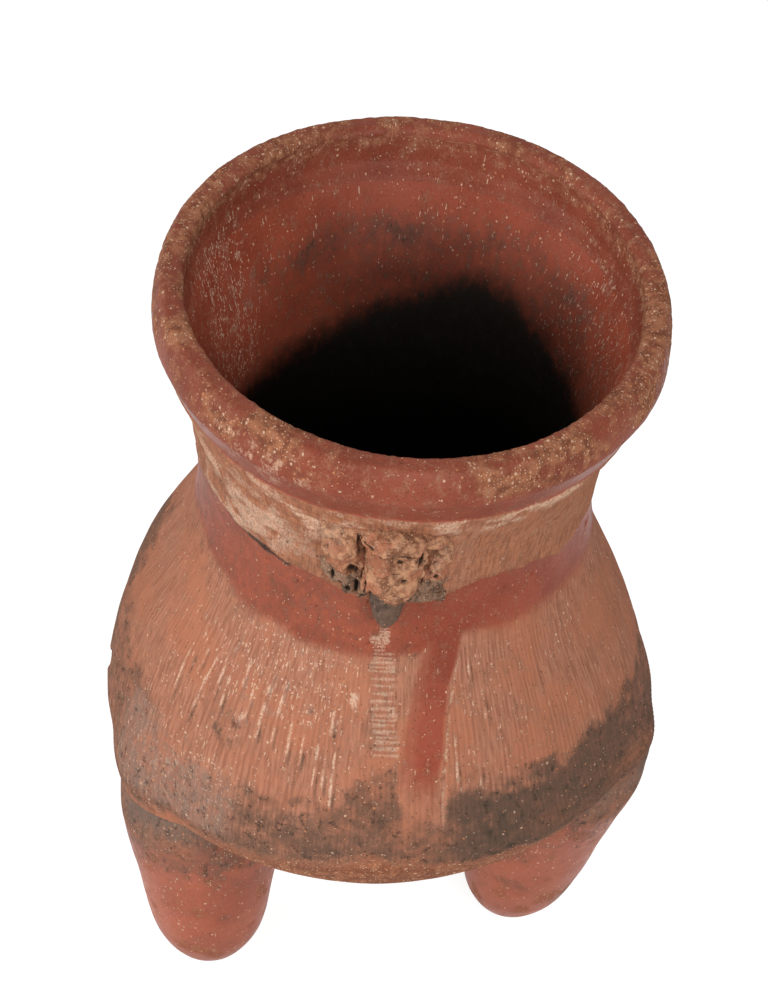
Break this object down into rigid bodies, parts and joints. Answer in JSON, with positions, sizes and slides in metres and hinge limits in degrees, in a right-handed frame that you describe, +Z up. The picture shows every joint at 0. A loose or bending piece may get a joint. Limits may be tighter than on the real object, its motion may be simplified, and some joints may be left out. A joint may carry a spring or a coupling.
{
  "type": "footed pottery jar",
  "caption": "Tripod clay jar with a flaring combed wall, pale collar, thick everted lip, hollow rattle legs and a worn animal head under the lip.",
  "frame": {"origin": "centre of the wall's widest circle, dropped to the plane that the three feet stand on", "axes": "+Z up along the height of the jar, -Y towards the front with the animal head, +X to the right"},
  "size_m": [0.172, 0.172, 0.2469],
  "materials": {
    "base_clay": "matt, smoothed low-fired clay",
    "combed_clay": "matt, combed low-fired clay with soot",
    "red_slip": "burnished red slip",
    "pale_clay": "matt brushed clay with mineral deposits",
    "lip_clay": "worn burnished red slip with sandy temper",
    "leg_slip": "burnished red slip",
    "pellet_clay": "matt fired clay",
    "sandy_clay": "eroded sandy clay",
    "sooty_clay": "sooty clay"
  },
  "bodies": {
    "jar": {"base_bowl": "base_clay", "body_wall": "combed_clay", "shoulder_band": "red_slip", "neck_collar": "pale_clay", "rim_lip": "lip_clay", "leg_left": "leg_slip", "leg_right": "leg_slip", "leg_back": "leg_slip", "adorno_head": "sandy_clay", "adorno_beak": "sooty_clay", "adorno_pad_left": "sandy_clay", "adorno_pad_right": "sandy_clay"},
    "pellet_left": {"rattle_pellet_left": "pellet_clay"},
    "pellet_right": {"rattle_pellet_right": "pellet_clay"},
    "pellet_back": {"rattle_pellet_back": "pellet_clay"}
  },
  "joints": [
    {"name": "rattle_left", "type": "slide", "parent": "jar", "child": "pellet_left", "axis": [-0.025, 0.1231, 0.9921], "range_m": [0, 0.0465]},
    {"name": "rattle_right", "type": "slide", "parent": "jar", "child": "pellet_right", "axis": [0.1555, -0.0339, 0.9873], "range_m": [0, 0.0485]},
    {"name": "rattle_back", "type": "slide", "parent": "jar", "child": "pellet_back", "axis": [-0.0088, 0.0412, 0.9991], "range_m": [0, 0.043]}
  ]
}
